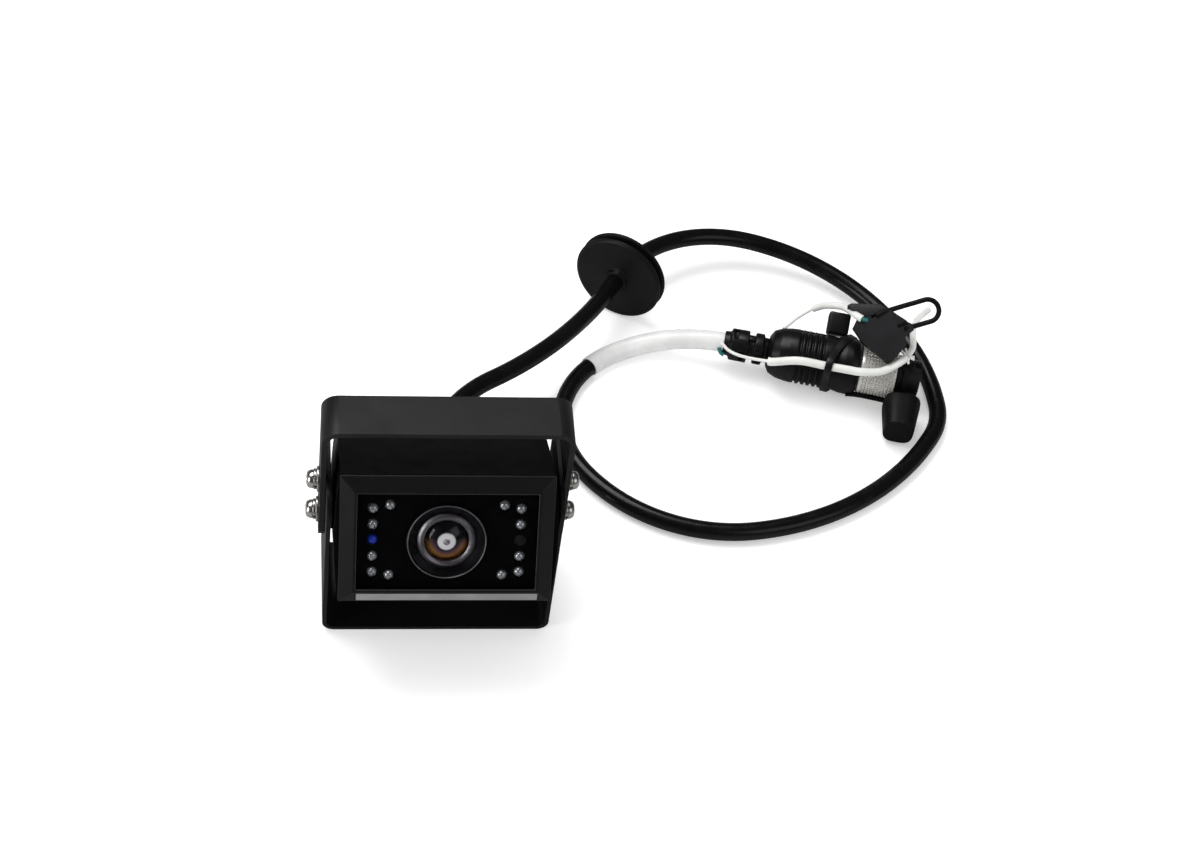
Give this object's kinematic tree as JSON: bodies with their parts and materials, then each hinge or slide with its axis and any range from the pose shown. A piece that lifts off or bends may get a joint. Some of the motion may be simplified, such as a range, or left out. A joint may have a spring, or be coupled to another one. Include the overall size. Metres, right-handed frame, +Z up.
{
  "type": "backup camera",
  "caption": "Box-shaped backup camera that tilts in a U-shaped mounting cradle, with an over-arm strap, infrared lamps round the lens, and a captive cable ending in a screw-ring plug.",
  "frame": {"origin": "underside of the cradle's base, below the camera's tilt axis and midway between the arms", "axes": "+Z up out of the base, -Y the way the camera looks, +X to the camera's left as it looks out, towards the laid-out cable"},
  "size_m": [0.2369, 0.1965, 0.09],
  "materials": {
    "cradle_coat": "satin black powder coat",
    "strap_coat": "satin black powder coat, fine grain",
    "screw_steel": "plain machined steel",
    "washer_steel": "plain pressed steel",
    "friction_nylon": "natural nylon",
    "body_coat": "matt black die-cast housing coat",
    "bezel_coat": "satin black coat",
    "seal_rubber": "matt black rubber",
    "window_glass": "smoked flat glass",
    "sill_grey": "mid-grey moulded strip",
    "mask_black": "matt black",
    "led_lens": "clear domed lens over a silver cup",
    "sensor_blue": "clear blue",
    "sensor_dark": "dark filter",
    "board_green": "solder mask",
    "board_steel": "zinc plated",
    "barrel_black": "satin black anodised",
    "ring_grey": "satin turned",
    "lens_glass": "coated optical glass",
    "holder_black": "glass-filled nylon",
    "chip_dark": "sensor cover",
    "post_brass": "turned brass",
    "header_cream": "cream nylon",
    "lead_wire": "coloured wire insulation",
    "cable_jacket": "matt black cable jacket",
    "grommet_rubber": "matt black-grey rubber",
    "label_white": "white shrink film",
    "plug_rubber": "satin moulded rubber",
    "knurled_ring": "nickel-plated fine knurl",
    "cap_rubber": "soft matt rubber",
    "tie_black": "black nylon tie",
    "tie_white": "white plastic-covered wire"
  },
  "bodies": {
    "cradle": {"mounting_cradle": "cradle_coat", "over_strap": "strap_coat", "pivot_screws": "screw_steel", "lock_screws": "screw_steel", "spring_washers": "washer_steel", "flat_washers": "washer_steel", "friction_washers": "friction_nylon", "cable": "cable_jacket", "wall_grommet": "grommet_rubber", "label_sleeve": "label_white", "strain_boot": "plug_rubber", "plug_grip": "plug_rubber", "plug_nose": "holder_black", "pin_insert": "holder_black", "contact_pins": "post_brass", "dust_cap": "cap_rubber", "dust_cap_tether": "cap_rubber", "square_cap": "cap_rubber", "square_cap_cord": "cap_rubber", "band_tie": "tie_black", "white_tie": "tie_white"},
    "camera_body": {"body_shell": "body_coat", "bezel_frame": "bezel_coat", "bezel_gasket": "seal_rubber", "window_glass": "window_glass", "sill_strip": "sill_grey", "mask_panel": "mask_black", "ir_leds": "led_lens", "light_sensor": "sensor_blue", "daynight_sensor": "sensor_dark", "led_board": "board_green", "board_screws": "board_steel", "lens_barrel": "barrel_black", "retaining_ring": "ring_grey", "front_lens": "lens_glass", "iris_ring": "ring_grey", "rear_lens": "lens_glass", "lens_holder": "holder_black", "image_sensor": "chip_dark", "sensor_board": "board_green", "front_standoffs": "post_brass", "rear_standoffs": "post_brass", "main_board": "board_green", "wire_header": "header_cream", "lead_wires": "lead_wire", "rear_gasket": "seal_rubber", "rear_cover": "body_coat", "rear_cover_screws": "board_steel", "gland_body": "holder_black", "gland_locknut": "holder_black", "gland_seal": "seal_rubber", "gland_cap": "holder_black", "cable_tail": "cable_jacket"},
    "coupling_ring": {"coupling_ring": "knurled_ring"}
  },
  "joints": [
    {"name": "camera_tilt", "type": "hinge", "parent": "cradle", "child": "camera_body", "pos_m": [0, 0, 0.0423], "axis": [-1, 0, 0], "range_deg": [-60, 17]},
    {"name": "coupling_spin", "type": "hinge", "parent": "cradle", "child": "coupling_ring", "pos_m": [0.11089, 0.10475, 0.01055], "axis": [0.9722, -0.2344, 0], "continuous": true}
  ]
}
